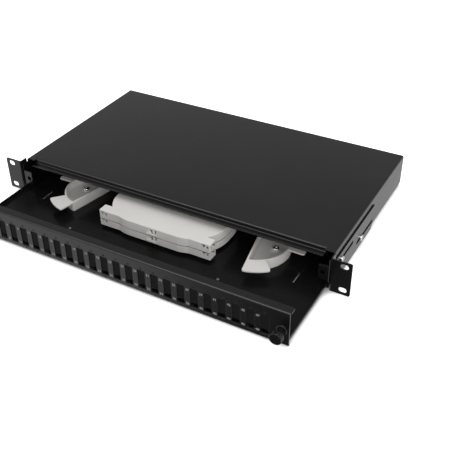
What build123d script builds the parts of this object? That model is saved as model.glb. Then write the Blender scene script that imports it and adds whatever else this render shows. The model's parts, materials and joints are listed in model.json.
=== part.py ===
"""Sliding 1U fibre termination box for a 19 inch rack, with 24 duplex adapter openings.

Millimetres. +X is to the right, +Y towards the back, +Z up. The origin is the centre of
the four rack slots, on the back faces of the ears (the plane that meets the rack rails).
The drawer is drawn pulled out by 100 mm. Closed, its panel stands against the latch tabs.
"""

from build123d import *

import os
from math import cos, radians, sin, sqrt

# ---- rack ears ----
EAR_SPAN = 482.6
EAR_HEIGHT = 43.85
EAR_SHEET = 1.5
EAR_CORNER = 2.0
SLOT_SPAN = 465.1
SLOT_RISE = 31.75
SLOT_WIDTH = 7.0
SLOT_LENGTH = 9.6
EAR_STEP_Y = 9.6
EAR_ARM_TOP = 10.6
EAR_ARM_BOTTOM = -21.2
EAR_ARM_END = 136.0
EAR_TAIL_CUT = 8.0
EAR_GAP = 0.05
ADJUST_SLOT_WIDTH = 4.5
ADJUST_SLOTS = ((12.0, 65.5, 1.4), (77.8, 132.2, -9.8))
EAR_SCREWS = ((28.9, 1.4), (91.5, -9.8))

# ---- housing ----
HOUSING_HALF = 216.5
HOUSING_FRONT = 11.0
HOUSING_BACK = 246.7
HOUSING_TOP = 21.2
WALL_FRONT = 0.0
WALL_FRONT_TOP = 17.0
SHELL_BOTTOM = -20.5
SHEET = 1.2
BEND = 1.0
COVER_EDGE = 14.8
LIP_HALF = 204.5
LIP_TOP = 15.6
LIP_FRONT = 6.5
SILL_WIDTH = 14.0
TAB_INNER = 202.6
TAB_LOW = -11.0
TAB_HIGH = 8.6
TAB_HOLE = 3.0
WALL_BEND_LOW = -11.8
REAR_FLANGE = 9.0
REAR_FLANGE_HALF = 213.5

# ---- drawer ----
DRAWER_MORE = 80.0
PANEL_FRONT = -102.3
PANEL_SHEET = 1.5
PANEL_BEND = 0.8
PANEL_HALF = 215.6
PANEL_TOP = 22.0
PANEL_BOTTOM = -21.7
FLANGE_HALF = 216.4
FLANGE_BACK = -92.0
FLANGE_CORNER = 1.5
RETURN_HALF = 201.0
RETURN_BACK = -93.0
TRAY_HALF = 214.7
TRAY_TOP = -17.0
TRAY_LIP = -12.8
TRAY_FRONT = -100.3
TRAY_BACK = 112.0
TRAY_FOLD_Y = -95.0
TRAY_FOLD_LOW = -20.0
TRAY_FOLD_HALF = 199.0
RELIEF = 0.5
FOOT_FRONT = -99.9
FOOT_HALF = 4.5
FOOT_BEND = 0.2
RIVET_Y = -97.9
RIVET_HOLE = 1.15
RAIL_GAP = 0.2
RAIL_SHEET = 1.0
RAIL_INNER = 206.3
RAIL_TOP = 6.0
RAIL_ENDS = (14.0, 238.0)
STOP_INNER = 199.0
STOP_LUG_TOP = -8.0
PAD_X = 104.0
PAD_ROWS = (-48.0, 98.0)
PAD_HEIGHT = 2.2
BRIDGE_X = 178.0
BRIDGE_ENDS = (-15.5, 8.5)
BRIDGE_WIDTH = 3.0
BRIDGE_SLOT = 4.6

# ---- adapter openings ----
PORTS = 24
PORT_PITCH = 16.6
PORT_CENTRE_X = -2.0
PORT_WIDTH = 9.6
PORT_LOW = -16.5
PORT_HIGH = 9.6
PORT_SCREW_RISE = 31.0
PORT_SCREW_HOLE = 2.3

# ---- push-pull latches ----
LATCH_X = 207.6
LATCH_Z = -1.6
LATCH_TRAVEL = 8.0
LATCH_HOLE = 3.5
LATCH_STEM = 1.5
GROMMET_HEAD = 1.8
GROMMET_NOSE = 6.5
KNOB_RADIUS = 7.1
KNOB_LENGTH = 6.5
KNOB_GROOVES = 16

# ---- cable spools ----
SPOOL_X = 115.0
SPOOL_Y = 24.0
SPOOL_TILT = 11.0
SPOOL_RADIUS = 41.5
SPOOL_WALL = 2.0
SPOOL_TOP = -4.0
SPOOL_SCREW = (23.7, 1.0)
SPOOL_BOSS = 2.8
WING_RADIUS = 61.0
WING_THICKNESS = 1.6
WINGS = ((-90.0, 31.0), (-12.5, 25.0), (59.0, 31.0))

# ---- splice cassettes ----
CASSETTE_X = 5.0
CASSETTE_FOOT = -13.1
CASSETTE_HEIGHT = 10.0
CASSETTE_WALL = 1.6
CASSETTE_SEAM = 0.5
LID_THICKNESS = 1.4
LID_RIM = 0.9
LID_RIM_HALF = 62.0
BAR_FRONT = -27.2
BAR_BACK = -14.0
BAR_HALF = 77.3
BULGE = 3.1
BULGE_HALF = 36.0
BULGE_SLOPE = 10.0
BODY_HALF = 77.5
BODY_CORNER = 45.5
BODY_BACK = 73.0
HUB_X = 33.0
HUB_Y = 25.0
HUB_RADIUS = 20.0
HUB_HEIGHT = 7.0
POST_RADIUS = 4.0
UPPER_POST = 4.5
NOTCHES = (-67.6, 73.9)
FRONT_HOLES = (-62.6, 78.9)
LATCH_SLOTS = ((4.6, 6.4, 2.3, 6.0), (10.9, 10.9, 1.9, 5.4))
LEDGE_X = (-1.5, 12.5)
LEDGE_REACH = 2.2
POCKET_HALF = 24.0
POCKET_RIBS = ((49.0, 50.2), (68.3, 69.5))
COMB_TEETH = 13

# ---- cable entries and small hardware ----
GLAND_HOLE = 20.5
GLAND_X = 172.0
PLUG_X = 122.0
ENTRY_Z = -1.0
REAR_SCREW_XS = (-150.0, 0.0, 150.0)
REAR_SCREW_Z = 15.8
BASE_SCREW_X = 209.5
BASE_SCREW_YS = (35.0, 130.0, 225.0)
EARTH_X = 70.0
M3 = 1.5
M4 = 2.0
M5 = 2.5
THREAD_GAP = 0.05
NUT_HEIGHT = 2.2

# ---- worked out from the sizes above ----
SIDES = ((-1, "left"), (1, "right"))
WALL_INNER = HOUSING_HALF - SHEET
SHELL_CEILING = HOUSING_TOP - SHEET
SILL_TOP = SHELL_BOTTOM + SHEET
BASE_BOTTOM = SHELL_BOTTOM - SHEET
REAR_WALL_INNER = HOUSING_BACK - SHEET
TRAY_BOTTOM = TRAY_TOP - SHEET
PANEL_BACK = PANEL_FRONT + PANEL_SHEET
RETURN_TOP = PANEL_BOTTOM + PANEL_SHEET
PORT_Z = (PORT_LOW + PORT_HIGH) / 2
PORT_XS = [PORT_CENTRE_X + PORT_PITCH * (i - (PORTS - 1) / 2) for i in range(PORTS)]
RIVET_XS = [PORT_CENTRE_X + PORT_PITCH * k for k in (-10, -6, -2, 2, 6, 10)]
BODY_FRONT = BAR_FRONT - BULGE
LOWER_BOTTOM = CASSETTE_FOOT
UPPER_BOTTOM = LOWER_BOTTOM + CASSETTE_HEIGHT
LID_BOTTOM = UPPER_BOTTOM + CASSETTE_HEIGHT
HUB_CENTRES = [(CASSETTE_X + side * HUB_X, HUB_Y) for side, _ in SIDES]


def span(side, near, far):
    """Limits (low, high) of a stretch between two distances from the middle, on one side."""
    return tuple(sorted((side * near, side * far)))


def block(x, y, z, mode=Mode.ADD):
    """Adds or cuts a box given by its limits (low, high) along each axis."""
    limits = (x, y, z)
    with Locations(tuple((low + high) / 2 for low, high in limits)):
        Box(*(high - low for low, high in limits), mode=mode)


def rod(x, y, z, radius, mode=Mode.ADD):
    """A round bar or hole. The one axis given as (low, high) is the axis it lies along."""
    place, turn, length = [], (0, 0, 0), 0
    for value, rotation in zip((x, y, z), ((0, 90, 0), (90, 0, 0), (0, 0, 0))):
        if isinstance(value, tuple):
            length = value[1] - value[0]
            turn = rotation
            place.append((value[0] + value[1]) / 2)
        else:
            place.append(value)
    with Locations(tuple(place)):
        Cylinder(radius, length, rotation=turn, mode=mode)


def bent_sheet(plane, points, thickness, both_sides, radius=BEND):
    """Sheet folded along points, its centre line, and as long as 2 * both_sides."""
    with BuildSketch(plane) as profile:
        with BuildLine() as fold:
            FilletPolyline(*points, radius=radius + thickness / 2)
        trace(fold.line, thickness)
    extrude(profile.sketch, amount=both_sides, both=True)


def pan_screw(thread, length, head, height):
    """A pan-head screw with a cross recess. It points down, with its head's seat at z = 0."""
    arm, half_width, depth = 0.56 * head, 0.11 * head, 0.55 * height
    with BuildPart() as screw:
        rod(0, 0, (-length, 0), thread - THREAD_GAP)
        rod(0, 0, (0, height), head)
        fillet(screw.edges().filter_by(GeomType.CIRCLE).sort_by(Axis.Z)[-1], 0.55 * height)
        block((-arm, arm), (-half_width, half_width), (height - depth, height + 1), Mode.SUBTRACT)
        block((-half_width, half_width), (-arm, arm), (height - depth, height + 1), Mode.SUBTRACT)
    return screw.part


def save(piece, name):
    """Names a finished piece and writes its own STEP file."""
    piece.part.label = name
    export_step(piece.part, f"parts/{name}.step")


os.makedirs("parts", exist_ok=True)

# ---- housing shell: top and both sides in one folded sheet ----
shell_mid = (HOUSING_BACK + WALL_FRONT) / 2
side_x = HOUSING_HALF - SHEET / 2
top_z = HOUSING_TOP - SHEET / 2
sill_z = SHELL_BOTTOM + SHEET / 2
lip_z = LIP_TOP - SHEET / 2
step_y = COVER_EDGE + SHEET / 2
flange_y = HOUSING_BACK + SHEET / 2 + THREAD_GAP
bend_reach = BEND + SHEET
with BuildPart() as housing_shell:
    bent_sheet(
        Plane.XZ.offset(-shell_mid),
        [
            (SILL_WIDTH - HOUSING_HALF, sill_z),
            (-side_x, sill_z),
            (-side_x, top_z),
            (side_x, top_z),
            (side_x, sill_z),
            (HOUSING_HALF - SILL_WIDTH, sill_z),
        ],
        SHEET,
        (HOUSING_BACK - WALL_FRONT) / 2,
    )
    # The top ends behind the walls' front edges, and its middle steps down to a lip.
    whole_width = (-HOUSING_HALF - 1, HOUSING_HALF + 1)
    block(whole_width, (WALL_FRONT - 1, HOUSING_FRONT), (WALL_FRONT_TOP, HOUSING_TOP + 1), Mode.SUBTRACT)
    block((-LIP_HALF, LIP_HALF), (WALL_FRONT, step_y + 15), (SHELL_CEILING, HOUSING_TOP), Mode.SUBTRACT)
    lip_fold = [(step_y + 16, top_z), (step_y, top_z), (step_y, lip_z), (LIP_FRONT, lip_z)]
    bent_sheet(Plane.YZ, lip_fold, SHEET, LIP_HALF)
    # Rear edge folded down over the back wall.
    rear_fold = [(HOUSING_BACK - 20, top_z), (flange_y, top_z), (flange_y, HOUSING_TOP - REAR_FLANGE)]
    bent_sheet(Plane.YZ, rear_fold, SHEET, REAR_FLANGE_HALF)
    for side, _ in SIDES:
        # The sill stops short of the back wall, which stands between the side walls.
        sill_x = span(side, HOUSING_HALF - SILL_WIDTH, WALL_INNER - BEND)
        sill_rear = (REAR_WALL_INNER - 1.5, HOUSING_BACK)
        block(sill_x, sill_rear, (SHELL_BOTTOM, SILL_TOP + 0.5), Mode.SUBTRACT)
        # The wall's front edge is bent in, and its middle goes on as the latch tab.
        wall_x = span(side, WALL_INNER - 1, HOUSING_HALF + 1)
        bend_z = (WALL_BEND_LOW, WALL_FRONT_TOP)
        block(wall_x, (WALL_FRONT - 1, bend_reach), bend_z, Mode.SUBTRACT)
        bent_sheet(
            Plane.XY.offset(sum(bend_z) / 2),
            [(side * side_x, HOUSING_FRONT), (side * side_x, SHEET / 2), (side * TAB_INNER, SHEET / 2)],
            SHEET,
            (WALL_FRONT_TOP - WALL_BEND_LOW) / 2,
        )
        leg_x = span(side, TAB_INNER - 1, HOUSING_HALF - bend_reach)
        for leg_z in ((WALL_BEND_LOW - 1, TAB_LOW), (TAB_HIGH, WALL_FRONT_TOP + 1)):
            block(leg_x, (WALL_FRONT - 1, bend_reach), leg_z, Mode.SUBTRACT)
        rod(side * LATCH_X, (WALL_FRONT - 1, bend_reach), LATCH_Z, TAB_HOLE, Mode.SUBTRACT)
        for y, z in EAR_SCREWS:
            rod(wall_x, y, z, M4, Mode.SUBTRACT)
        for y in BASE_SCREW_YS:
            rod(side * BASE_SCREW_X, y, (SHELL_BOTTOM - 1, SILL_TOP + 1), M3, Mode.SUBTRACT)
    for x in REAR_SCREW_XS:
        rod(x, (HOUSING_BACK - 1, HOUSING_BACK + 3), REAR_SCREW_Z, M3 + 0.2, Mode.SUBTRACT)
save(housing_shell, "housing_shell")

# ---- base plate: bottom and back wall in one folded sheet ----
base_z = BASE_BOTTOM + SHEET / 2
rear_y = HOUSING_BACK - SHEET / 2
through_rear = (REAR_WALL_INNER - 1, HOUSING_BACK + 1)
with BuildPart() as base_plate:
    bent_sheet(
        Plane.YZ,
        [(HOUSING_FRONT, base_z), (rear_y, base_z), (rear_y, SHELL_CEILING - BEND - 0.1)],
        SHEET,
        WALL_INNER - BEND - 0.2,
    )
    for x in (-GLAND_X, -PLUG_X, PLUG_X, GLAND_X):
        rod(x, through_rear, ENTRY_Z, GLAND_HOLE / 2, Mode.SUBTRACT)
    for x in REAR_SCREW_XS:
        rod(x, through_rear, REAR_SCREW_Z, M3, Mode.SUBTRACT)
    rod(EARTH_X, through_rear, ENTRY_Z, M5, Mode.SUBTRACT)
    for side, _ in SIDES:
        for y in BASE_SCREW_YS:
            rod(side * BASE_SCREW_X, y, (BASE_BOTTOM - 1, SHELL_BOTTOM + 1), M3 + 0.1, Mode.SUBTRACT)
            with Locations((side * BASE_SCREW_X, y, BASE_BOTTOM + 0.5)):
                Cone(2.6, M3 + 0.1, 1.0, mode=Mode.SUBTRACT)
save(base_plate, "base_plate")

# ---- flat screws that hold the base plate under the shell's sills ----
with BuildPart() as one_base_screw:
    with BuildSketch(Plane.XZ):
        with BuildLine():
            Polyline(
                (0, BASE_BOTTOM),
                (2.5, BASE_BOTTOM),
                (M3 - THREAD_GAP, BASE_BOTTOM + 1.05),
                (M3 - THREAD_GAP, SILL_TOP),
                (0, SILL_TOP),
                close=True,
            )
        make_face()
    revolve(axis=Axis.Z)
    for x, y in ((1.5, 0.3), (0.3, 1.5)):
        block((-x, x), (-y, y), (BASE_BOTTOM - 1, BASE_BOTTOM + 0.45), Mode.SUBTRACT)
with BuildPart() as base_screws:
    with Locations(*[(side * BASE_SCREW_X, y, 0) for side, _ in SIDES for y in BASE_SCREW_YS]):
        add(one_base_screw.part)
save(base_screws, "base_screws")

# ---- pan-head screws through the shell's rear flange ----
rear_face = flange_y + SHEET / 2
rear_screw = pan_screw(M3, rear_face - REAR_WALL_INNER + 3.5, 2.8, 2.2)
with BuildPart() as rear_screws:
    with Locations(*[Plane((x, rear_face, REAR_SCREW_Z), z_dir=(0, 1, 0)) for x in REAR_SCREW_XS]):
        add(rear_screw)
save(rear_screws, "rear_screws")

# ---- guide rails: angles welded inside the side walls, just above the tray's lips ----
rail_low = TRAY_LIP + RAIL_GAP
leg_z = rail_low + RAIL_SHEET / 2
for side, name in SIDES:
    upright_x = side * (WALL_INNER - RAIL_SHEET / 2)
    with BuildPart() as slide_rail:
        bent_sheet(
            Plane.XZ.offset(-sum(RAIL_ENDS) / 2),
            [(side * RAIL_INNER, leg_z), (upright_x, leg_z), (upright_x, RAIL_TOP)],
            RAIL_SHEET,
            (RAIL_ENDS[1] - RAIL_ENDS[0]) / 2,
            radius=0.5,
        )
        # Stop at the front end, met by the tray's rear lug when the drawer is right out.
        stop_back = TRAY_BACK - SHEET - DRAWER_MORE - 0.15
        stop_z = (rail_low, rail_low + RAIL_SHEET)
        block(span(side, STOP_INNER, RAIL_INNER + 1), (stop_back - 4, stop_back), stop_z)
        for y, z in EAR_SCREWS:
            rod((upright_x - 2, upright_x + 2), y, z, M4, Mode.SUBTRACT)
    save(slide_rail, f"slide_rail_{name}")

# ---- rack ears: L brackets outside the walls, adjustable front to back ----
arm_face = HOUSING_HALF + EAR_GAP
head_seat = arm_face + EAR_SHEET + EAR_GAP
ear_screw = pan_screw(M4, head_seat - WALL_INNER + RAIL_SHEET, 3.9, 2.6)
for side, name in SIDES:
    arm_x = side * (arm_face + EAR_SHEET / 2)
    with BuildPart() as rack_ear:
        bent_sheet(
            Plane.XY,
            [(arm_x, EAR_ARM_END), (arm_x, -EAR_SHEET / 2), (side * EAR_SPAN / 2, -EAR_SHEET / 2)],
            EAR_SHEET,
            EAR_HEIGHT / 2,
        )
        arm_span = span(side, arm_face - 1, arm_face + 3.5)
        arm_length = (EAR_STEP_Y, EAR_ARM_END + 1)
        block(arm_span, arm_length, (EAR_ARM_TOP, EAR_HEIGHT), Mode.SUBTRACT)
        block(arm_span, arm_length, (-EAR_HEIGHT, EAR_ARM_BOTTOM), Mode.SUBTRACT)
        with BuildSketch(Plane.XZ.offset(-5)) as rack_slots:
            with Locations(*[(side * SLOT_SPAN / 2, rise * SLOT_RISE / 2) for rise in (-1, 1)]):
                SlotOverall(SLOT_LENGTH, SLOT_WIDTH)
        extrude(amount=10, mode=Mode.SUBTRACT)
        with BuildSketch(Plane.YZ.offset(side * arm_face - 5)) as adjust_slots:
            for start, end, z in ADJUST_SLOTS:
                with Locations(((start + end) / 2, z)):
                    SlotOverall(end - start, ADJUST_SLOT_WIDTH)
        extrude(amount=10, mode=Mode.SUBTRACT)
        ear_tip = rack_ear.edges().filter_by(Axis.Y).group_by(lambda e: round(abs(e.center().X), 1))[-1]
        fillet(ear_tip, EAR_CORNER)
        tail = rack_ear.faces().sort_by(Axis.Y)[-1]
        chamfer(tail.edges().sort_by(Axis.Z)[0], EAR_TAIL_CUT)
        tail = rack_ear.faces().sort_by(Axis.Y)[-1]
        fillet(tail.edges().sort_by(Axis.Z)[-1], 0.8)
    save(rack_ear, f"rack_ear_{name}")

    # Two pan-head screws clamp each ear through its slots into the wall and the rail.
    with BuildPart() as ear_screws:
        with Locations(*[Plane((side * head_seat, y, z), z_dir=(side, 0, 0)) for y, z in EAR_SCREWS]):
            add(ear_screw)
    save(ear_screws, f"ear_screws_{name}")

# ---- plugs in the two unused cable entries ----
plug_out = HOUSING_BACK + 2.4
bore = GLAND_HOLE / 2
with BuildPart() as entry_plugs:
    for x in (-PLUG_X, PLUG_X):
        rod(x, (REAR_WALL_INNER - 3.0, HOUSING_BACK), ENTRY_Z, bore - THREAD_GAP)
        rod(x, (HOUSING_BACK, plug_out), ENTRY_Z, bore + 2.2)
        rod(x, (REAR_WALL_INNER - 2.0, REAR_WALL_INNER - 0.2), ENTRY_Z, bore + 0.6)
        rod(x, (REAR_WALL_INNER - 3.5, REAR_WALL_INNER + 0.5), ENTRY_Z, bore - 2.0, Mode.SUBTRACT)
    fillet(entry_plugs.edges().filter_by(GeomType.CIRCLE).group_by(Axis.Y)[-1], 1.2)
save(entry_plugs, "entry_plugs")

# ---- earth stud and its nuts on the back wall ----
with BuildPart() as earth_stud:
    rod(EARTH_X, (REAR_WALL_INNER, HOUSING_BACK + 14), ENTRY_Z, M5 - THREAD_GAP)
    rod(EARTH_X, (REAR_WALL_INNER - 1.6, REAR_WALL_INNER), ENTRY_Z, 4.5)
    tip = earth_stud.edges().filter_by(GeomType.CIRCLE).sort_by(Axis.Y)[-1]
    chamfer(tip, 0.6)
save(earth_stud, "earth_stud")

with BuildPart() as earth_nuts:
    for start in (HOUSING_BACK, HOUSING_BACK + 6.5):
        rod(EARTH_X, (start, start + 1.0), ENTRY_Z, 5.0)
        with BuildSketch(Plane.XZ.offset(-start - 1.0)):
            with Locations((EARTH_X, ENTRY_Z)):
                RegularPolygon(4.0, 6, major_radius=False)
        extrude(amount=-4.0)
    rod(EARTH_X, (HOUSING_BACK - 1, HOUSING_BACK + 20), ENTRY_Z, M5, Mode.SUBTRACT)
save(earth_nuts, "earth_nuts")

# ---- drawer tray ----
floor_z = TRAY_TOP - SHEET / 2
lip_x = TRAY_HALF - SHEET / 2
fold_y = TRAY_FOLD_Y + SHEET / 2
foot_z = RETURN_TOP + SHEET / 2
back_y = TRAY_BACK - SHEET / 2
rear_half = RAIL_INNER - 1.5
through_floor = (TRAY_BOTTOM - 1, TRAY_TOP + 1)
spool_turn = radians(SPOOL_TILT)
spool_screw_x = SPOOL_X + SPOOL_SCREW[0] * cos(spool_turn) - SPOOL_SCREW[1] * sin(spool_turn)
spool_screw_y = SPOOL_Y + SPOOL_SCREW[0] * sin(spool_turn) + SPOOL_SCREW[1] * cos(spool_turn)
spool_screw_places = [(side * spool_screw_x, spool_screw_y) for side, _ in SIDES]
with BuildPart() as drawer_tray:
    bent_sheet(
        Plane.XZ.offset(-(TRAY_FRONT + TRAY_BACK) / 2),
        [(-lip_x, TRAY_LIP), (-lip_x, floor_z), (lip_x, floor_z), (lip_x, TRAY_LIP)],
        SHEET,
        (TRAY_BACK - TRAY_FRONT) / 2,
    )
    # Between its side strips the floor ends short of the panel and folds down.
    gap_half = TRAY_FOLD_HALF + RELIEF
    block((-gap_half, gap_half), (TRAY_FRONT - 1, TRAY_FOLD_Y + 5), through_floor, Mode.SUBTRACT)
    front_fold = [(TRAY_FOLD_Y + 6, floor_z), (fold_y, floor_z), (fold_y, TRAY_FOLD_LOW)]
    bent_sheet(Plane.YZ, front_fold, SHEET, TRAY_FOLD_HALF, radius=0.4)
    # Feet of the fold stand on the panel's bottom return and are riveted to it.
    for x in RIVET_XS:
        foot_half = FOOT_HALF + RELIEF
        foot_cut = (TRAY_FOLD_LOW - 1, TRAY_FOLD_LOW + 1)
        block((x - foot_half, x + foot_half), (TRAY_FOLD_Y - 1, TRAY_FOLD_Y + 2), foot_cut, Mode.SUBTRACT)
        foot_fold = [(fold_y, floor_z - 1), (fold_y, foot_z), (FOOT_FRONT, foot_z)]
        bent_sheet(Plane.YZ.offset(x), foot_fold, SHEET, FOOT_HALF, radius=FOOT_BEND)
        rod(x, RIVET_Y, (foot_z - 1, foot_z + 1), RIVET_HOLE, Mode.SUBTRACT)
    # Rear edge folded up, with a taller lug at each end that meets the rail's stop.
    bent_sheet(Plane.YZ, [(TRAY_BACK - 8, floor_z), (back_y, floor_z), (back_y, TRAY_LIP)], SHEET, rear_half)
    for side, _ in SIDES:
        lug_x = span(side, STOP_INNER + 0.5, rear_half)
        block(lug_x, (TRAY_BACK - SHEET, TRAY_BACK), (TRAY_LIP - 1, STOP_LUG_TOP))
        # Cable-tie bridge pressed up out of the floor.
        slot_x = (side * BRIDGE_X - BRIDGE_SLOT / 2, side * BRIDGE_X + BRIDGE_SLOT / 2)
        bridge_x = (side * BRIDGE_X - BRIDGE_WIDTH / 2, side * BRIDGE_X + BRIDGE_WIDTH / 2)
        bridge_start, bridge_end = BRIDGE_ENDS
        block(slot_x, (bridge_start + 2, bridge_end - 2), through_floor, Mode.SUBTRACT)
        block(bridge_x, BRIDGE_ENDS, (TRAY_TOP + 1.2, TRAY_TOP + 2.4))
        for y in ((bridge_start, bridge_start + 2), (bridge_end - 2, bridge_end)):
            block(bridge_x, y, (TRAY_TOP - 0.6, TRAY_TOP + 1.8))
        for y in PAD_ROWS:
            rod(side * PAD_X, y, through_floor, M3, Mode.SUBTRACT)
    for x, y in spool_screw_places:
        rod(x, y, through_floor, M4, Mode.SUBTRACT)
    for x, y in HUB_CENTRES:
        rod(x, y, through_floor, M3, Mode.SUBTRACT)
        rod(x, y, (TRAY_BOTTOM - 1, TRAY_BOTTOM + 0.7), 2.6, Mode.SUBTRACT)
save(drawer_tray, "drawer_tray")

# ---- front panel: the face between a top flange and a bottom return ----
panel_y = PANEL_FRONT + PANEL_SHEET / 2
flange_z = PANEL_TOP - PANEL_SHEET / 2
return_z = PANEL_BOTTOM + PANEL_SHEET / 2
face_depth = PANEL_FRONT + PANEL_SHEET + PANEL_BEND
with BuildPart() as front_panel:
    bent_sheet(
        Plane.YZ,
        [(RETURN_BACK, return_z), (panel_y, return_z), (panel_y, flange_z), (FLANGE_BACK, flange_z)],
        PANEL_SHEET,
        FLANGE_HALF,
        radius=PANEL_BEND,
    )
    for side, _ in SIDES:
        # The face is a little narrower than the flange, and the return ends short of the sills.
        face_edge = span(side, PANEL_HALF, FLANGE_HALF + 1)
        block(face_edge, (PANEL_FRONT - 1, face_depth), (PANEL_BOTTOM - 1, PANEL_TOP + 1), Mode.SUBTRACT)
        return_edge = span(side, RETURN_HALF, FLANGE_HALF + 1)
        block(return_edge, (face_depth, RETURN_BACK + 1), (PANEL_BOTTOM - 1, RETURN_TOP + 1), Mode.SUBTRACT)
    flange_tips = front_panel.edges().filter_by(Axis.Z).filter_by(lambda e: e.center().Y > FLANGE_BACK - 0.1)
    fillet(flange_tips, FLANGE_CORNER)
    with BuildSketch(Plane.XZ.offset(-PANEL_FRONT + 5)) as openings:
        with Locations(*[(x, PORT_Z) for x in PORT_XS]):
            Rectangle(PORT_WIDTH, PORT_HIGH - PORT_LOW)
        fillet(openings.vertices(), 0.5)
        for rise in (-1, 1):
            with Locations(*[(x, PORT_Z + rise * PORT_SCREW_RISE / 2) for x in PORT_XS]):
                Circle(PORT_SCREW_HOLE / 2)
        with Locations(*[(side * LATCH_X, LATCH_Z) for side, _ in SIDES]):
            Circle(LATCH_HOLE)
    extrude(amount=-5 - PANEL_SHEET - 0.5, mode=Mode.SUBTRACT)
    for x in RIVET_XS:
        rod(x, RIVET_Y, (PANEL_BOTTOM - 1, RETURN_TOP + 1), RIVET_HOLE, Mode.SUBTRACT)
        with Locations((x, RIVET_Y, PANEL_BOTTOM + 0.25)):
            Cone(1.65, RIVET_HOLE, 0.5, mode=Mode.SUBTRACT)
save(front_panel, "front_panel")

# ---- flush rivets that join the tray's feet to the panel's return ----
rivet_top = foot_z + SHEET / 2 + 0.5
with BuildPart() as one_panel_rivet:
    with BuildSketch(Plane.XZ):
        with BuildLine():
            Polyline(
                (0, PANEL_BOTTOM),
                (1.55, PANEL_BOTTOM),
                (RIVET_HOLE - THREAD_GAP, PANEL_BOTTOM + 0.45),
                (RIVET_HOLE - THREAD_GAP, rivet_top - 0.5),
                (1.8, rivet_top - 0.5),
                (1.5, rivet_top),
                (0, rivet_top),
                close=True,
            )
        make_face()
    revolve(axis=Axis.Z)
with BuildPart() as panel_rivets:
    with Locations(*[(x, RIVET_Y, 0) for x in RIVET_XS]):
        add(one_panel_rivet.part)
save(panel_rivets, "panel_rivets")

# ---- nylon glide pads under the tray and the rivets through them ----
pad_low = TRAY_BOTTOM - PAD_HEIGHT
pad_places = [(side * PAD_X, y) for side, _ in SIDES for y in PAD_ROWS]
with BuildPart() as glide_pads:
    for x, y in pad_places:
        rod(x, y, (pad_low, TRAY_BOTTOM), 7.0)
        rod(x, y, (pad_low - 1, TRAY_BOTTOM + 1), M3, Mode.SUBTRACT)
        rod(x, y, (pad_low - 1, pad_low + 1.1), 3.0, Mode.SUBTRACT)
    pad_rims = glide_pads.edges().filter_by(GeomType.CIRCLE).group_by(SortBy.RADIUS)[-1]
    chamfer(pad_rims.group_by(Axis.Z)[0], 0.5)
save(glide_pads, "glide_pads")

with BuildPart() as glide_rivets:
    for x, y in pad_places:
        rod(x, y, (pad_low + 0.4, TRAY_TOP), M3 - THREAD_GAP)
        rod(x, y, (TRAY_TOP, TRAY_TOP + 0.9), 1.9)
        rod(x, y, (pad_low + 0.4, pad_low + 1.1), 2.6)
    fillet(glide_rivets.edges().filter_by(GeomType.CIRCLE).group_by(Axis.Z)[-1], 0.6)
save(glide_rivets, "glide_rivets")

# ---- push-pull latches: a split grommet snapped in the panel, and its plunger ----
grommet_front = PANEL_FRONT - GROMMET_HEAD
nose_end = PANEL_BACK + GROMMET_NOSE
knob_back = grommet_front - LATCH_TRAVEL - 0.1
knob_front = knob_back - KNOB_LENGTH
for side, name in SIDES:
    x = side * LATCH_X
    with BuildPart() as latch_grommet:
        rod(x, (grommet_front, PANEL_FRONT), LATCH_Z, 6.0)
        fillet(latch_grommet.edges().filter_by(GeomType.CIRCLE).sort_by(Axis.Y)[0], 0.8)
        rod(x, (PANEL_FRONT, PANEL_BACK), LATCH_Z, LATCH_HOLE - THREAD_GAP)
        rod(x, (PANEL_BACK, nose_end), LATCH_Z, 2.8)
        chamfer(latch_grommet.edges().filter_by(GeomType.CIRCLE).sort_by(Axis.Y)[-1], 0.7)
        rod(x, (grommet_front - 1, nose_end + 1), LATCH_Z, LATCH_STEM, Mode.SUBTRACT)
        # Two slits split the nose so that it can snap through the tab.
        for half_x, half_z in ((0.4, 4.0), (4.0, 0.4)):
            slit_z = (LATCH_Z - half_z, LATCH_Z + half_z)
            block((x - half_x, x + half_x), (PANEL_BACK + 1.2, nose_end + 1), slit_z, Mode.SUBTRACT)
    save(latch_grommet, f"latch_grommet_{name}")

    with BuildPart() as latch_plunger:
        rod(x, (knob_back, PANEL_BACK + 1.0), LATCH_Z, LATCH_STEM - THREAD_GAP)
        rod(x, (knob_front, knob_back), LATCH_Z, KNOB_RADIUS)
        fillet(latch_plunger.edges().filter_by(GeomType.CIRCLE).group_by(SortBy.RADIUS)[-1], 0.9)
        # Finger grooves round the knob, and a dished face with a button in it.
        for step in range(KNOB_GROOVES):
            angle = radians(360 / KNOB_GROOVES * step)
            groove_x = x + (KNOB_RADIUS + 0.4) * cos(angle)
            groove_z = LATCH_Z + (KNOB_RADIUS + 0.4) * sin(angle)
            rod(groove_x, (knob_front - 1, knob_back - 1.2), groove_z, 0.75, Mode.SUBTRACT)
        rod(x, (knob_front - 1, knob_front + 0.9), LATCH_Z, 3.8, Mode.SUBTRACT)
        rod(x, (knob_front + 0.3, knob_front + 2), LATCH_Z, 2.3)
    save(latch_plunger, f"latch_plunger_{name}")

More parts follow.
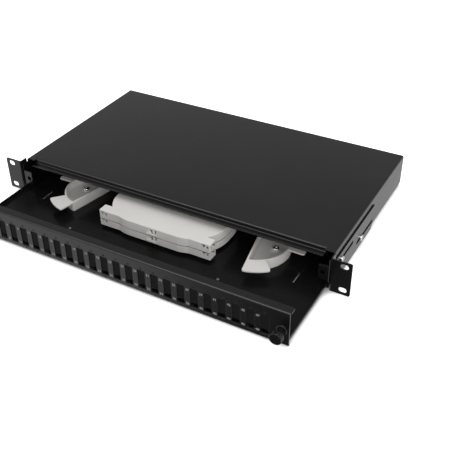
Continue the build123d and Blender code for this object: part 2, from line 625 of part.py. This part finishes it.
# ---- cable spools: half drums with wings that keep the coiled fibre down ----
spool_height = SPOOL_TOP - TRAY_TOP
inner_radius = SPOOL_RADIUS - SPOOL_WALL
inner_reach = sqrt(inner_radius**2 - SPOOL_WALL**2)
for side, name in SIDES:
    heading = SPOOL_TILT if side > 0 else 180 - SPOOL_TILT
    bulge = (cos(radians(heading)), sin(radians(heading)), 0)
    spool_base = Plane(origin=(side * SPOOL_X, SPOOL_Y, TRAY_TOP), x_dir=bulge, z_dir=(0, 0, 1))
    screw_place = (SPOOL_SCREW[0], side * SPOOL_SCREW[1])
    with BuildPart() as cable_spool:
        with BuildSketch(spool_base) as drum:
            with BuildLine():
                RadiusArc((0, -SPOOL_RADIUS), (0, SPOOL_RADIUS), -SPOOL_RADIUS)
                Line((0, SPOOL_RADIUS), (0, -SPOOL_RADIUS))
            make_face()
            fillet(drum.vertices(), 2.5)
        extrude(amount=spool_height)
        with BuildSketch(spool_base.offset(2.0)) as hollow:
            with BuildLine():
                RadiusArc((SPOOL_WALL, -inner_reach), (SPOOL_WALL, inner_reach), -inner_radius)
                Line((SPOOL_WALL, inner_reach), (SPOOL_WALL, -inner_reach))
            make_face()
            fillet(hollow.vertices(), 2.0)
        extrude(amount=spool_height, mode=Mode.SUBTRACT)
        for start, sweep_angle in WINGS:
            with BuildSketch(spool_base.offset(spool_height - WING_THICKNESS)) as wing:
                with BuildLine():
                    outer_arc = CenterArc((0, 0), WING_RADIUS, start, sweep_angle)
                    inner_arc = CenterArc((0, 0), SPOOL_RADIUS - 1, start, sweep_angle)
                    Line(outer_arc @ 0, inner_arc @ 0)
                    Line(outer_arc @ 1, inner_arc @ 1)
                make_face()
                fillet(wing.vertices().sort_by_distance((0, 0))[-2:], 2.5)
            extrude(amount=WING_THICKNESS)
        with BuildSketch(spool_base) as boss:
            with Locations(screw_place):
                Circle(5.5)
        extrude(amount=SPOOL_BOSS)
        with BuildSketch(spool_base) as screw_hole:
            with Locations(screw_place):
                Circle(M4 + 0.1)
        extrude(amount=SPOOL_BOSS + 1, mode=Mode.SUBTRACT)
    save(cable_spool, f"cable_spool_{name}")

# ---- screws that hold the spools down ----
spool_screw_seat = TRAY_TOP + SPOOL_BOSS
spool_screw = pan_screw(M4, spool_screw_seat - TRAY_BOTTOM, 4.3, 2.6)
with BuildPart() as spool_screws:
    with Locations(*[(x, y, spool_screw_seat) for x, y in spool_screw_places]):
        add(spool_screw)
save(spool_screws, "spool_screws")

# ---- splice cassettes ----
def cassette_outline(inset):
    """Plan of a cassette pulled in by inset: a body with wide round corners and a front bar."""
    with BuildSketch(mode=Mode.PRIVATE) as plan:
        with Locations((CASSETTE_X, (BODY_FRONT + BODY_BACK) / 2)):
            RectangleRounded(2 * BODY_HALF, BODY_BACK - BODY_FRONT, BODY_CORNER)
        with BuildLine():
            left, right = CASSETTE_X - BAR_HALF, CASSETTE_X + BAR_HALF
            low, high = CASSETTE_X - BULGE_HALF, CASSETTE_X + BULGE_HALF
            FilletPolyline(
                (left, BAR_BACK),
                (left, BAR_FRONT),
                (low - BULGE_SLOPE, BAR_FRONT),
                (low, BODY_FRONT),
                (high, BODY_FRONT),
                (high + BULGE_SLOPE, BAR_FRONT),
                (right, BAR_FRONT),
                (right, BAR_BACK),
                radius=1.0,
                close=True,
            )
        make_face()
        if inset:
            offset(amount=-inset, kind=Kind.INTERSECTION)
    return plan.sketch


pocket_x = (CASSETTE_X - POCKET_HALF, CASSETTE_X + POCKET_HALF)
comb_x = (pocket_x[0] + 1, pocket_x[1] - 1)
comb_y = (POCKET_RIBS[0][1] + THREAD_GAP, POCKET_RIBS[1][0] - THREAD_GAP)
tooth_step = (comb_x[1] - comb_x[0] - 1.2) / (COMB_TEETH - 1)
for bottom, seam, post, name in (
    (LOWER_BOTTOM, CASSETTE_SEAM, CASSETTE_HEIGHT - CASSETTE_WALL, "lower"),
    (UPPER_BOTTOM, 0, UPPER_POST, "upper"),
):
    floor = bottom + CASSETTE_WALL
    top = bottom + CASSETTE_HEIGHT
    with BuildPart() as splice_cassette:
        with BuildSketch(Plane.XY.offset(bottom)):
            add(cassette_outline(0))
        extrude(amount=CASSETTE_HEIGHT - seam)
        fillet(splice_cassette.edges().group_by(Axis.Z)[0], 0.5)
        with BuildSketch(Plane.XY.offset(floor)):
            add(cassette_outline(CASSETTE_WALL))
        extrude(amount=CASSETTE_HEIGHT, mode=Mode.SUBTRACT)
        # Winding hubs, each round a post that a mounting stud passes through.
        with BuildSketch(Plane.XY.offset(floor - 0.2)):
            with Locations(*HUB_CENTRES):
                Circle(HUB_RADIUS)
                Circle(HUB_RADIUS - CASSETTE_WALL, mode=Mode.SUBTRACT)
        extrude(amount=HUB_HEIGHT)
        for x, y in HUB_CENTRES:
            rod(x, y, (floor - 0.2, floor + post), POST_RADIUS)
            # The lower cassette stands on two short feet, the upper on the posts below it.
            if bottom == LOWER_BOTTOM:
                rod(x, y, (TRAY_TOP, floor - 0.2), POST_RADIUS + 2)
            rod(x, y, (TRAY_TOP, top), M3 + 0.1, Mode.SUBTRACT)
        # Pocket for the splice holder, at the back.
        for rib in POCKET_RIBS:
            block(pocket_x, rib, (floor - 0.6, bottom + HUB_HEIGHT))
        for side, _ in SIDES:
            # Tab that keeps the fibre below the rim, and a fibre port through the back wall.
            tab_x = sorted(CASSETTE_X + side * x for x in (66.5, BODY_HALF - 1))
            block(tuple(tab_x), (21.0, 29.0), (top - 3.0, top - 1.8))
            port_x = sorted(CASSETTE_X + side * x for x in (29.0, 40.0))
            block(tuple(port_x), (BODY_BACK - 4, BODY_BACK + 1), (bottom + 3.0, top + 1), Mode.SUBTRACT)
        # A V notch and a round hole near each end of the front bar, in a thinned stretch of wall.
        for x in NOTCHES:
            bar_wall = (BAR_FRONT + 0.7, BAR_FRONT + CASSETTE_WALL + 0.1)
            block((x - 2.9, x + 6.7), bar_wall, (floor, top + 1), Mode.SUBTRACT)
        with BuildSketch(Plane.XZ.offset(-BAR_FRONT - 4)):
            for x in NOTCHES:
                with BuildLine():
                    Polyline((x - 2.8, top), (x + 2.8, top), (x, top - 4.0), close=True)
                make_face()
            with Locations(*[(x, top - 2.6) for x in FRONT_HOLES]):
                Circle(1.6)
        extrude(amount=5, mode=Mode.SUBTRACT)
        # A three-cornered window and a round hole in each end of the bar.
        with BuildSketch(Plane.YZ.offset(CASSETTE_X)):
            with BuildLine():
                Polyline((-23.4, top - 0.5), (-15.0, top - 0.5), (-15.0, top - 6.2), close=True)
            make_face()
            with Locations((-23.2, top - 5.2)):
                Circle(1.5)
        extrude(amount=BAR_HALF + 1, both=True, mode=Mode.SUBTRACT)
        # Middle latch: a slanted and an upright slot in a thinned stretch of the wall, and a ledge.
        latch_wall = (BODY_FRONT + 0.8, BODY_FRONT + CASSETTE_WALL + 0.1)
        block((2.6, 13.0), latch_wall, (floor, top + 1), Mode.SUBTRACT)
        with BuildSketch(Plane.XZ.offset(-BODY_FRONT - 2)):
            for x_above, x_below, width, foot in LATCH_SLOTS:
                with BuildLine():
                    Polyline(
                        (x_above - width / 2, top - 0.8),
                        (x_above + width / 2, top - 0.8),
                        (x_below + width / 2, top - foot),
                        (x_below - width / 2, top - foot),
                        close=True,
                    )
                make_face()
        extrude(amount=3, mode=Mode.SUBTRACT)
        block(LEDGE_X, (BODY_FRONT - LEDGE_REACH, BODY_FRONT + 0.4), (bottom + 3.0, bottom + 4.4))
    save(splice_cassette, f"splice_cassette_{name}")

    # Comb that grips twelve splice sleeves, clipped between the pocket's two ribs.
    with BuildPart() as splice_holder:
        block(comb_x, comb_y, (floor, floor + 1.2))
        for tooth in range(COMB_TEETH):
            tooth_x = comb_x[0] + tooth * tooth_step
            for row in ((51.5, 55.5), (63.0, 67.0)):
                block((tooth_x, tooth_x + 1.2), row, (floor + 1, floor + 6.5))
    save(splice_holder, f"splice_holder_{name}")

# ---- cassette lid ----
with BuildPart() as cassette_lid:
    with BuildSketch(Plane.XY.offset(LID_BOTTOM)):
        add(cassette_outline(0))
    extrude(amount=LID_THICKNESS)
    fillet(cassette_lid.edges().group_by(Axis.Z)[-1], 0.5)
    # Rim that drops inside the upper cassette's wall, left out at the bar's ends.
    with BuildSketch(Plane.XY.offset(LID_BOTTOM - LID_RIM)):
        add(cassette_outline(CASSETTE_WALL + 0.15))
        add(cassette_outline(CASSETTE_WALL + 1.35), mode=Mode.SUBTRACT)
        with Locations((CASSETTE_X, (BODY_FRONT + BODY_BACK) / 2)):
            Rectangle(2 * LID_RIM_HALF, 2 * BODY_BACK, mode=Mode.INTERSECT)
    extrude(amount=LID_RIM)
save(cassette_lid, "cassette_lid")

# ---- studs pressed into the tray that hold both cassettes, and their nuts ----
post_top = UPPER_BOTTOM + CASSETTE_WALL + UPPER_POST
with BuildPart() as cassette_studs:
    for x, y in HUB_CENTRES:
        rod(x, y, (TRAY_BOTTOM, TRAY_BOTTOM + 0.7), 2.6)
        rod(x, y, (TRAY_BOTTOM + 0.7, post_top + NUT_HEIGHT + 0.8), M3 - THREAD_GAP)
save(cassette_studs, "cassette_studs")

with BuildPart() as cassette_nuts:
    with BuildSketch(Plane.XY.offset(post_top)):
        with Locations(*HUB_CENTRES):
            RegularPolygon(2.75, 6, major_radius=False)
            Circle(M3, mode=Mode.SUBTRACT)
    extrude(amount=NUT_HEIGHT)
save(cassette_nuts, "cassette_nuts")
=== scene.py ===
import json
import math

import bmesh
import bpy
from mathutils import Matrix, Vector

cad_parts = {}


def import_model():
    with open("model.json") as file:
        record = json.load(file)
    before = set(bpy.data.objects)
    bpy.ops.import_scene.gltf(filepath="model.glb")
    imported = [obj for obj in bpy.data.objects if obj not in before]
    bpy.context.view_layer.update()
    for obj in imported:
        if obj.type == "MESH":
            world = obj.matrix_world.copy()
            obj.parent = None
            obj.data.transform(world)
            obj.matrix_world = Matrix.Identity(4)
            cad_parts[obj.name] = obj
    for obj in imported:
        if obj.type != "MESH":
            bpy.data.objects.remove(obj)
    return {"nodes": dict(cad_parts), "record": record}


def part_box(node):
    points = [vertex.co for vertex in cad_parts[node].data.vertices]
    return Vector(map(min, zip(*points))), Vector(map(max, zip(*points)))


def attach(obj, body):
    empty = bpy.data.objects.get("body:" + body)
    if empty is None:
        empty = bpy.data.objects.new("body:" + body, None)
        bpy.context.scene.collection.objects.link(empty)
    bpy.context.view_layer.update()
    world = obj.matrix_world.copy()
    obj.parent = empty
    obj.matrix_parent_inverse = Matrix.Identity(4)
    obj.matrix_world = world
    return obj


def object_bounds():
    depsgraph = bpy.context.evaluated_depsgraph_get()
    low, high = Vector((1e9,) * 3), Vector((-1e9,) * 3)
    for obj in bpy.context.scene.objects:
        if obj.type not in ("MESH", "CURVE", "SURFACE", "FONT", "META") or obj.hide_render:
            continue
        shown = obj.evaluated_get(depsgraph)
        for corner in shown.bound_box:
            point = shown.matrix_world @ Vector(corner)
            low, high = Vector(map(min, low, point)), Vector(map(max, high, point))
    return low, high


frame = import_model()
cad_low, cad_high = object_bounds()
scene = bpy.context.scene

MM = 0.001

# ---- camera ----
CAMERA_PLACE = (0.4274, -0.6087, 0.5143)
CAMERA_TURN = (55.084, 0.952, 29.516)
CAMERA_LENS = 58.97
CAMERA_SHIFT = (0.0312, -0.0179)

# ---- port numbers printed on the front panel ----
NUMBER_HEIGHT = 3.1 * MM
NUMBER_WEIGHT = 0.05 * MM
NUMBER_ROWS = (5.5 * MM, -13.3 * MM)
NUMBER_OFFSET = -8.4 * MM
INK_THICKNESS = 0.04 * MM
DIGIT_SHARE = 0.70

# ---- finishes ----
# Painted shade on the drawer tray: its copy of the black coat reflects less than the housing's and has a
# paler base.
TRAY_SHADE_SHINE = 0.14
TRAY_SHADE_TONE = 1.8

# ---- studio ----
FLOOR_REACH = 6.0
FLOOR_GAP = 0.05 * MM
FLOOR_LIFT = 1.0
FLOOR_SHADE_REACH = 18 * MM
ROOM_LIGHT = 0.47
# Brightness of the mirrored surroundings, as (part of the direction, brightness) stops.
MIRRORED_LIGHT = 1.5
MIRRORED_SKY = (
    (0.02, 0.50), (0.25, 0.42), (0.42, 0.30), (0.55, 0.22), (0.75, 0.24), (0.90, 0.50), (1.0, 0.60),
)
MIRRORED_FLOOR = (
    (-0.75, 0.60), (-0.50, 0.68), (-0.45, 0.62), (-0.405, 0.08), (-0.38, 0.0),
    (-0.31, 0.0), (-0.27, 0.08), (0.04, 0.10), (0.14, 0.55), (0.50, 0.55),
)
FRONT_GLOW = 5.0
FRONT_GLOW_DEPTH = ((-0.75, 0.0), (-0.65, 1.0), (-0.40, 1.0), (-0.25, 0.0))
FRONT_GLOW_HEIGHT = ((0.30, 0.0), (0.45, 1.0))
FRONT_GLOW_SIDE = ((-0.60, 0.25), (-0.45, 0.8))
KEY_LIGHT = {"place": (0.25, 0.80, 1.25), "size": 2.2, "power": 10.4}
FILL_LIGHT = {"place": (0.90, -1.00, 0.45), "size": 1.0, "power": 8.6}
LIGHT_TARGET = (0.0, 0.0, 0.0)


# ---- node helpers ----
class Shader:
    """A material's node tree, with short calls for the nodes that every finish here uses."""

    def __init__(self, name):
        self.material = bpy.data.materials.new(name)
        self.material.use_nodes = True
        self.tree = self.material.node_tree
        self.surface = self.tree.nodes["Principled BSDF"]
        self.coordinates = self.add("ShaderNodeTexCoord").outputs["Object"]

    def add(self, kind, **values):
        node = self.tree.nodes.new(kind)
        for key, value in values.items():
            setattr(node, key, value)
        return node

    def link(self, source, target):
        self.tree.links.new(source, target)

    def noise(self, scale, detail=2.0, roughness=0.5, stretch=None):
        """Noise with features about 1 / scale metres across."""
        node = self.add("ShaderNodeTexNoise")
        node.inputs["Scale"].default_value = scale
        node.inputs["Detail"].default_value = detail
        node.inputs["Roughness"].default_value = roughness
        source = self.coordinates
        if stretch:
            mapping = self.add("ShaderNodeMapping")
            mapping.inputs["Scale"].default_value = stretch
            self.link(source, mapping.inputs["Vector"])
            source = mapping.outputs["Vector"]
        self.link(source, node.inputs["Vector"])
        return node.outputs["Fac"]

    def spread(self, value, low, high, source_low=0.3, source_high=0.7):
        """Maps a noise value to the range low..high."""
        node = self.add("ShaderNodeMapRange")
        node.inputs["From Min"].default_value = source_low
        node.inputs["From Max"].default_value = source_high
        node.inputs["To Min"].default_value = low
        node.inputs["To Max"].default_value = high
        self.link(value, node.inputs["Value"])
        return node.outputs["Result"]

    def math(self, operation, first, second):
        node = self.add("ShaderNodeMath", operation=operation)
        for socket, value in zip(node.inputs, (first, second)):
            if isinstance(value, (int, float)):
                socket.default_value = value
            else:
                self.link(value, socket)
        return node.outputs["Value"]

    def colours(self, factor, first, second):
        """Mixes two linear colours, or the colour sockets of other nodes, by factor."""
        node = self.add("ShaderNodeMix", data_type="RGBA")
        if isinstance(factor, (int, float)):
            node.inputs["Factor"].default_value = factor
        else:
            self.link(factor, node.inputs["Factor"])
        for name, value in (("A", first), ("B", second)):
            socket = [s for s in node.inputs if s.name == name and s.type == "RGBA"][0]
            if isinstance(value, tuple):
                socket.default_value = (*value, 1.0)
            else:
                self.link(value, socket)
        return [s for s in node.outputs if s.type == "RGBA"][0]

    def rounded(self, radius):
        """Normals as if every edge were rounded to the radius."""
        bevel = self.add("ShaderNodeBevel", samples=4)
        bevel.inputs["Radius"].default_value = radius
        return bevel.outputs["Normal"]

    def edge_mask(self, rounded):
        """1 where the rounded normal leans away from the true one, which is along sharp edges."""
        geometry = self.add("ShaderNodeNewGeometry")
        dot = self.add("ShaderNodeVectorMath", operation="DOT_PRODUCT")
        self.link(rounded, dot.inputs[0])
        self.link(geometry.outputs["Normal"], dot.inputs[1])
        return self.spread(dot.outputs["Value"], 1.0, 0.0, 0.80, 0.98)

    def bump(self, height, distance, normal=None, strength=1.0):
        node = self.add("ShaderNodeBump")
        node.inputs["Distance"].default_value = distance
        node.inputs["Strength"].default_value = strength
        self.link(height, node.inputs["Height"])
        if normal is not None:
            self.link(normal, node.inputs["Normal"])
        return node.outputs["Normal"]

    def set(self, **values):
        """Sets inputs of the Principled node, by value or by socket."""
        for key, value in values.items():
            socket = self.surface.inputs[key.replace("_", " ")]
            if isinstance(value, tuple):
                socket.default_value = (*value, 1.0) if len(value) == 3 else value
            elif isinstance(value, (int, float)):
                socket.default_value = value
            else:
                self.link(value, socket)


def black_coat(name="black_coat_finish", shine=0.5, tone=1.0):
    """Fine-texture black powder coat; shine sets its reflections, tone how pale the black is."""
    s = Shader(name)
    normal = s.rounded(0.5 * MM)
    edge = s.edge_mask(normal)
    cloud = s.noise(9.0, 3.0)
    grain = s.noise(1900.0, 2.0)
    first = tuple(tone * value for value in (0.0030, 0.0030, 0.0031))
    second = tuple(tone * value for value in (0.0045, 0.0044, 0.0044))
    body = s.colours(s.spread(cloud, 0.0, 1.0), first, second)
    # Sharp edges painted paler: partly worn coat, partly a painted highlight along the edges.
    colour = s.colours(s.math("MULTIPLY", edge, 0.35), body, (0.014, 0.014, 0.015))
    rough = s.math("ADD", s.spread(cloud, 0.22, 0.26), s.spread(grain, -0.03, 0.03))
    coarse = s.bump(s.noise(420.0, 1.0), 0.02 * MM, normal)
    s.set(Base_Color=colour, Roughness=rough, Normal=s.bump(grain, 0.012 * MM, coarse))
    s.set(Specular_IOR_Level=shine)
    return s.material


def white_abs():
    """Warm white moulded ABS with a fine spark-eroded texture."""
    s = Shader("white_abs_finish")
    normal = s.rounded(0.3 * MM)
    cloud = s.noise(14.0, 3.0)
    grain = s.noise(2600.0, 2.0)
    body = s.colours(s.spread(cloud, 0.0, 1.0), (0.78, 0.755, 0.725), (0.83, 0.81, 0.785))
    # Painted shade: deep recesses, found by occlusion, are coloured near black.
    shade = s.add("ShaderNodeAmbientOcclusion", samples=8)
    shade.inputs["Distance"].default_value = 6 * MM
    painted_recess_shade = s.spread(shade.outputs["AO"], 1.0, 0.0, 0.26, 0.54)
    colour = s.colours(painted_recess_shade, body, (0.03, 0.028, 0.026))
    rough = s.math("ADD", s.spread(cloud, 0.42, 0.50), s.spread(grain, -0.03, 0.03))
    s.set(Base_Color=colour, Roughness=rough, Normal=s.bump(grain, 0.01 * MM, normal))
    return s.material


def zinc(name="zinc_finish", share=1.0):
    """Bright zinc plate with tumbling marks; share scales how much it reflects."""
    s = Shader(name)
    normal = s.rounded(0.15 * MM)
    cloud = s.noise(160.0, 3.0)
    marks = s.noise(1500.0, 3.0)
    first = tuple(share * value for value in (0.78, 0.78, 0.77))
    second = tuple(share * value for value in (0.68, 0.70, 0.73))
    colour = s.colours(s.spread(cloud, 0.0, 1.0), first, second)
    rough = s.math("ADD", s.spread(cloud, 0.20, 0.30), s.spread(marks, -0.05, 0.05))
    s.set(Base_Color=colour, Metallic=1.0, Roughness=rough, Normal=s.bump(marks, 0.004 * MM, normal))
    return s.material


def black_nylon():
    """Glossy moulded black nylon."""
    s = Shader("black_nylon_finish")
    normal = s.rounded(0.2 * MM)
    grain = s.noise(1600.0, 2.0)
    cloud = s.noise(60.0, 2.0)
    colour = s.colours(s.spread(cloud, 0.0, 1.0), (0.003, 0.003, 0.003), (0.006, 0.006, 0.006))
    rough = s.math("ADD", s.spread(cloud, 0.14, 0.22), s.spread(grain, -0.03, 0.03))
    s.set(Base_Color=colour, Roughness=rough, Normal=s.bump(grain, 0.006 * MM, normal))
    return s.material


def natural_nylon():
    """Unpigmented nylon, milky and slightly see-through."""
    s = Shader("natural_nylon_finish")
    cloud = s.noise(120.0, 3.0)
    grain = s.noise(1800.0, 2.0)
    colour = s.colours(s.spread(cloud, 0.0, 1.0), (0.62, 0.60, 0.54), (0.70, 0.68, 0.62))
    s.set(Base_Color=colour, Roughness=s.spread(grain, 0.38, 0.48), Normal=s.bump(grain, 0.006 * MM))
    s.set(Subsurface_Weight=0.3, Subsurface_Scale=2 * MM)
    return s.material


def black_rubber():
    """Matt black moulded rubber with a little bloom."""
    s = Shader("black_rubber_finish")
    normal = s.rounded(0.3 * MM)
    bloom = s.noise(90.0, 4.0)
    grain = s.noise(1400.0, 3.0)
    colour = s.colours(s.spread(bloom, 0.0, 1.0), (0.013, 0.013, 0.013), (0.028, 0.028, 0.027))
    s.set(Base_Color=colour, Roughness=s.spread(bloom, 0.58, 0.72), Normal=s.bump(grain, 0.02 * MM, normal))
    return s.material


def brass_nickel():
    """Yellow passivated fastener brass."""
    s = Shader("brass_nickel_finish")
    normal = s.rounded(0.15 * MM)
    cloud = s.noise(140.0, 3.0)
    marks = s.noise(1300.0, 3.0)
    colour = s.colours(s.spread(cloud, 0.0, 1.0), (0.62, 0.54, 0.36), (0.70, 0.63, 0.47))
    rough = s.math("ADD", s.spread(cloud, 0.22, 0.34), s.spread(marks, -0.05, 0.05))
    s.set(Base_Color=colour, Metallic=1.0, Roughness=rough, Normal=s.bump(marks, 0.004 * MM, normal))
    return s.material


def white_ink():
    """Screen-printed white ink, slightly thin in places."""
    s = Shader("white_ink_finish")
    thin = s.noise(1500.0, 3.0)
    colour = s.colours(s.spread(thin, 0.0, 1.0), (0.26, 0.26, 0.255), (0.42, 0.42, 0.41))
    s.set(Base_Color=colour, Roughness=0.5)
    return s.material


FINISHES = {
    "black_coat": black_coat(),
    "white_abs": white_abs(),
    "zinc": zinc(),
    "black_nylon": black_nylon(),
    "natural_nylon": natural_nylon(),
    "black_rubber": black_rubber(),
    "brass_nickel": brass_nickel(),
}
# Nodes with another finish than their material's own: duller zinc for the glide rivets, and for the drawer
# tray a copy of the black coat with weaker reflections and a paler base, which paints the shade the tray
# lies in.
DULL_OR_SHADED = {
    "drawer_tray": black_coat("tray_shaded_coat_finish", TRAY_SHADE_SHINE, TRAY_SHADE_TONE),
    "glide_rivets": zinc("dull_zinc_finish", 0.30),
}
for name, node in frame["nodes"].items():
    for slot in node.material_slots:
        slot.material = DULL_OR_SHADED.get(name, FINISHES[slot.material.name])


# ---- port numbers ----
def port_centres():
    """X of each adapter opening's centre, left to right, from the record's mounts."""
    found = [m for m in frame["record"]["mounts"] if m["name"].startswith("adapter_")]
    return sorted(m["pos_m"][0] for m in found)


def text_mesh(words, height):
    """A flat solid mesh of the words, centred, lying in XY and facing +Z."""
    curve = bpy.data.curves.new("words", "FONT")
    curve.body = words
    curve.align_x = "CENTER"
    curve.align_y = "CENTER"
    curve.size = height / DIGIT_SHARE
    curve.offset = NUMBER_WEIGHT
    curve.extrude = INK_THICKNESS / 2
    curve.resolution_u = 3
    maker = bpy.data.objects.new("words", curve)
    mesh = bpy.data.meshes.new_from_object(maker)
    bpy.data.objects.remove(maker)
    return mesh


def port_numbers():
    """Numbers 1 to 48, odd above even, left of each opening on the panel's face."""
    face_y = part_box("front_panel")[0].y
    joined = bmesh.new()
    upright = Matrix.Rotation(math.radians(90), 4, "X")
    for index, centre in enumerate(port_centres()):
        for row, z in enumerate(NUMBER_ROWS):
            mesh = text_mesh(str(2 * index + 1 + row), NUMBER_HEIGHT)
            place = Vector((centre + NUMBER_OFFSET, face_y - INK_THICKNESS / 2, z))
            mesh.transform(Matrix.Translation(place) @ upright)
            joined.from_mesh(mesh)
            bpy.data.meshes.remove(mesh)
    bmesh.ops.remove_doubles(joined, verts=joined.verts, dist=0.0005 * MM)
    mesh = bpy.data.meshes.new("port_numbers")
    joined.to_mesh(mesh)
    joined.free()
    mesh.materials.append(white_ink())
    piece = bpy.data.objects.new("port_numbers", mesh)
    scene.collection.objects.link(piece)
    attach(piece, "drawer")


port_numbers()


# ---- floor, light and camera ----
def floor():
    """Plain pale floor, a little brighter to the camera than its shading alone."""
    mesh = bpy.data.meshes.new("floor")
    z = cad_low.z - FLOOR_GAP
    corners = [(x * FLOOR_REACH, y * FLOOR_REACH, z) for x, y in ((-1, -1), (1, -1), (1, 1), (-1, 1))]
    mesh.from_pydata(corners, [], [(0, 1, 2, 3)])
    piece = bpy.data.objects.new("floor", mesh)
    scene.collection.objects.link(piece)
    s = Shader("floor_finish")
    s.set(Base_Color=(0.82, 0.82, 0.82), Roughness=0.9)
    path = s.add("ShaderNodeLightPath")
    open_sky = s.add("ShaderNodeAmbientOcclusion", samples=8)
    open_sky.inputs["Distance"].default_value = FLOOR_SHADE_REACH
    lift = s.spread(open_sky.outputs["AO"], 0.0, FLOOR_LIFT, 0.35, 0.75)
    s.set(Emission_Color=(1.0, 1.0, 1.0))
    s.link(s.math("MULTIPLY", path.outputs["Is Camera Ray"], lift), s.surface.inputs["Emission Strength"])
    mesh.materials.append(s.material)
    piece.visible_glossy = False


def world():
    """Soft studio surroundings: white to the camera, even for diffuse light, graded in reflections."""
    made = bpy.data.worlds.new("studio")
    made.use_nodes = True
    tree = made.node_tree
    tree.nodes.clear()
    direction = tree.nodes.new("ShaderNodeTexCoord")
    parts = tree.nodes.new("ShaderNodeSeparateXYZ")
    tree.links.new(direction.outputs["Generated"], parts.inputs["Vector"])
    path = tree.nodes.new("ShaderNodeLightPath")

    def ramp(axis, stops):
        """Brightness along one component of the direction, from (component, brightness) stops."""
        to_share = tree.nodes.new("ShaderNodeMapRange")
        to_share.inputs["From Min"].default_value = -1.0
        tree.links.new(parts.outputs[axis], to_share.inputs["Value"])
        node = tree.nodes.new("ShaderNodeValToRGB")
        elements = node.color_ramp.elements
        while len(elements) < len(stops):
            elements.new(0.5)
        for element, (place, value) in zip(elements, stops):
            element.position = (place + 1) / 2
            element.color = (value, value, value, 1.0)
        tree.links.new(to_share.outputs["Result"], node.inputs["Fac"])
        return node.outputs["Color"]

    def product(first, second):
        node = tree.nodes.new("ShaderNodeMath")
        node.operation = "MULTIPLY"
        tree.links.new(first, node.inputs[0])
        tree.links.new(second, node.inputs[1])
        return node.outputs["Value"]

    def background(colour, strength):
        node = tree.nodes.new("ShaderNodeBackground")
        if isinstance(colour, tuple):
            node.inputs["Color"].default_value = (*colour, 1.0)
        else:
            tree.links.new(colour, node.inputs["Color"])
        node.inputs["Strength"].default_value = strength
        return node.outputs["Background"]

    def together(first, second):
        node = tree.nodes.new("ShaderNodeAddShader")
        tree.links.new(first, node.inputs[0])
        tree.links.new(second, node.inputs[1])
        return node.outputs["Shader"]

    def choose(ray_kind, otherwise, chosen):
        """One background for the rays of a kind, another for the rest."""
        node = tree.nodes.new("ShaderNodeMixShader")
        tree.links.new(path.outputs[ray_kind], node.inputs["Fac"])
        tree.links.new(otherwise, node.inputs[1])
        tree.links.new(chosen, node.inputs[2])
        return node.outputs["Shader"]

    blend = tree.nodes.new("ShaderNodeMix")
    blend.data_type = "RGBA"
    tree.links.new(ramp("Z", ((-0.12, 0.0), (0.02, 1.0))), blend.inputs["Factor"])
    first, second = [socket for socket in blend.inputs if socket.type == "RGBA"]
    tree.links.new(ramp("X", MIRRORED_FLOOR), first)
    tree.links.new(ramp("Z", MIRRORED_SKY), second)
    graded = [socket for socket in blend.outputs if socket.type == "RGBA"][0]
    glow = product(ramp("Y", FRONT_GLOW_DEPTH), ramp("Z", FRONT_GLOW_HEIGHT))
    glow = product(glow, ramp("X", FRONT_GLOW_SIDE))
    mirrored = together(background(graded, MIRRORED_LIGHT), background(glow, FRONT_GLOW))
    lit = choose("Is Diffuse Ray", mirrored, background((1.0, 1.0, 1.0), ROOM_LIGHT))
    seen = choose("Is Camera Ray", lit, background((1.0, 1.0, 1.0), 1.0))
    output = tree.nodes.new("ShaderNodeOutputWorld")
    tree.links.new(seen, output.inputs["Surface"])
    made.cycles.sampling_method = "NONE"
    scene.world = made


def softbox(name, place, size, power):
    """A square area light aimed at the object; reflections come from the world instead."""
    data = bpy.data.lights.new(name, "AREA")
    data.shape = "SQUARE"
    data.size = size
    data.energy = power
    lamp = bpy.data.objects.new(name, data)
    lamp.location = place
    lamp.rotation_euler = (Vector(LIGHT_TARGET) - Vector(place)).to_track_quat("-Z", "Y").to_euler()
    lamp.visible_glossy = False
    scene.collection.objects.link(lamp)


def camera():
    data = bpy.data.cameras.new("camera")
    data.lens = CAMERA_LENS
    data.shift_x, data.shift_y = CAMERA_SHIFT
    data.clip_start = 0.01
    data.clip_end = 50
    made = bpy.data.objects.new("camera", data)
    made.location = CAMERA_PLACE
    made.rotation_euler = [math.radians(angle) for angle in CAMERA_TURN]
    scene.collection.objects.link(made)
    scene.camera = made


floor()
world()
softbox("key_light", **KEY_LIGHT)
softbox("fill_light", **FILL_LIGHT)
camera()
scene.view_settings.view_transform = "Standard"
